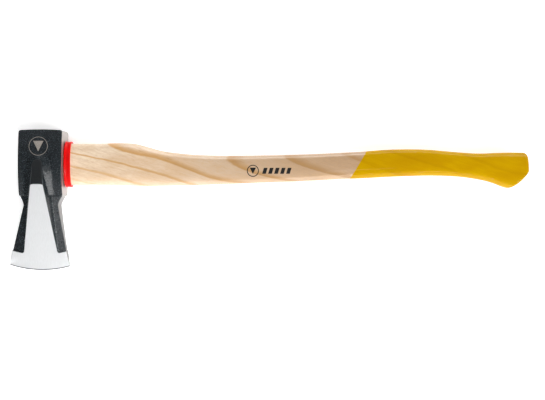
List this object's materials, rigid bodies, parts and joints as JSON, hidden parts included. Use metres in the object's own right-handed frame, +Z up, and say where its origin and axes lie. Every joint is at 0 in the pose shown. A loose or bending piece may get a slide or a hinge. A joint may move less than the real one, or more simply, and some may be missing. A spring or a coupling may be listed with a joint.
{
  "type": "splitting maul",
  "caption": "Splitting maul with a ribbed wedge head, flat striking poll, red guard collar and curved wooden handle with a dipped grip.",
  "frame": {"origin": "bottom centre of the bounding box, with the maul lying on its cheek", "axes": "+X along the handle from the head to the knob, +Y out of the striking poll, +Z up, square to the mirror plane"},
  "size_m": [0.697, 0.1884, 0.069],
  "materials": {
    "painted_steel": "satin",
    "bright_steel": "satin",
    "ash_wood": "gloss",
    "beech_wood": "matte",
    "red_plastic": "gloss"
  },
  "bodies": {
    "root": {"head": "painted_steel", "handle": "ash_wood", "collar": "red_plastic", "wooden_wedge": "beech_wood", "steel_wedge_1": "bright_steel", "steel_wedge_2": "bright_steel"}
  },
  "joints": []
}
